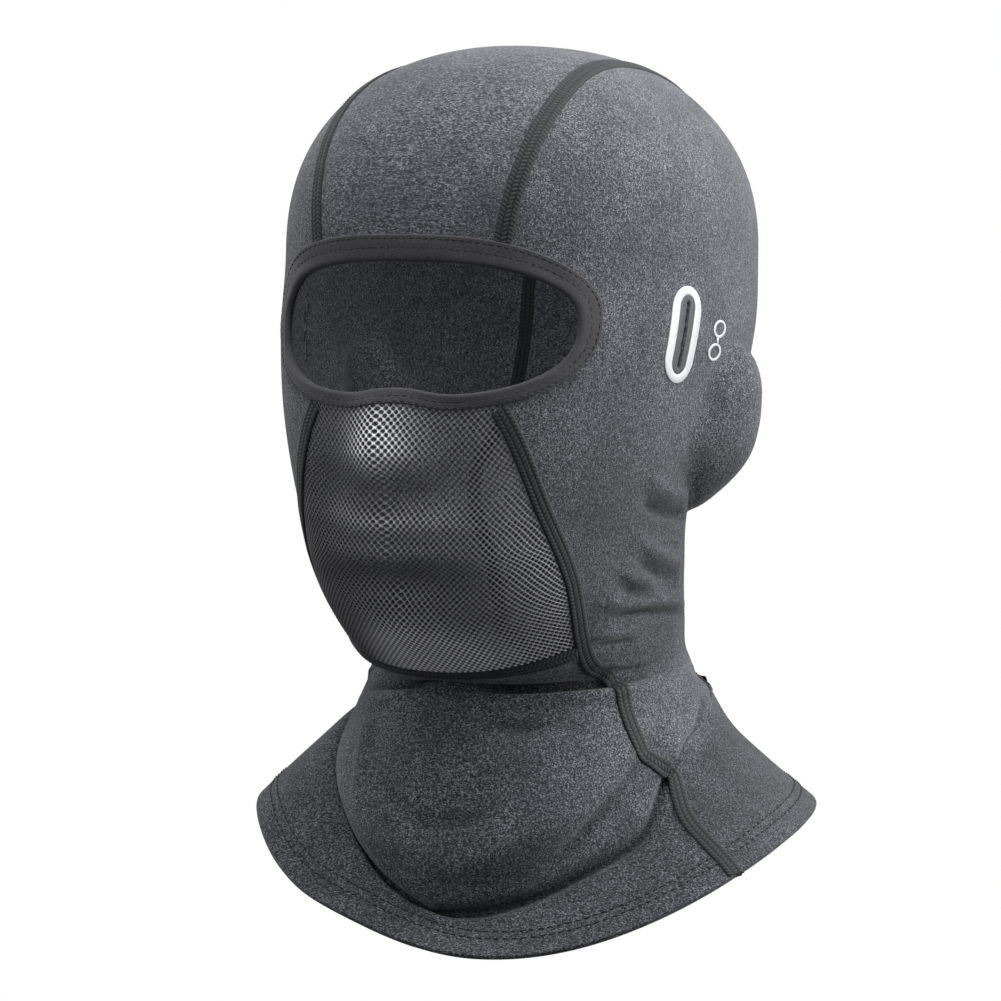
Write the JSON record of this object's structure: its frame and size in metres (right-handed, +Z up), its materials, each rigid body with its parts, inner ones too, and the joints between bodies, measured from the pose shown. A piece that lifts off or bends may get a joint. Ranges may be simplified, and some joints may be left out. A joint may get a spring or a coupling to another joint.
{
  "type": "balaclava",
  "caption": "Full-face knitted ski hood with an open eye window, a mesh breathing panel, a flared collar and reinforced slots for glasses.",
  "frame": {"origin": "inside of the crown, where the top of the wearer's head touches the cloth, on the middle plane of the hood", "axes": "+Z up, the face looks toward -Y, +X is the wearer's left"},
  "size_m": [0.2145, 0.2188, 0.33],
  "materials": {
    "knit": "heather grey brushed jersey",
    "mesh": "open hexagonal net with a soft shine",
    "binding": "smooth charcoal elastic tape",
    "thread": "charcoal flatlock thread",
    "film": "thin dark bonding film",
    "reflective": "silver reflective transfer"
  },
  "bodies": {
    "root": {"centre_panel": "knit", "side_panel_left": "knit", "side_panel_right": "knit", "face_mesh": "mesh", "neck_bib": "knit", "eye_binding": "binding", "binding_stitch_outer": "thread", "binding_stitch_inner": "thread", "crown_seam_left": "thread", "crown_seam_right": "thread", "crown_seam_inside_left": "thread", "crown_seam_inside_right": "thread", "front_seam_left": "thread", "front_seam_right": "thread", "front_seam_inside_left": "thread", "front_seam_inside_right": "thread", "chin_seam": "thread", "chin_seam_inside": "thread", "hem_stitch_upper": "thread", "hem_stitch_lower": "thread", "hem_looper_thread": "thread", "slot_ring_left": "reflective", "slot_ring_right": "reflective", "slot_patch_left": "film", "slot_patch_right": "film", "spectacles_mark_left": "reflective", "spectacles_mark_right": "reflective"}
  },
  "joints": []
}
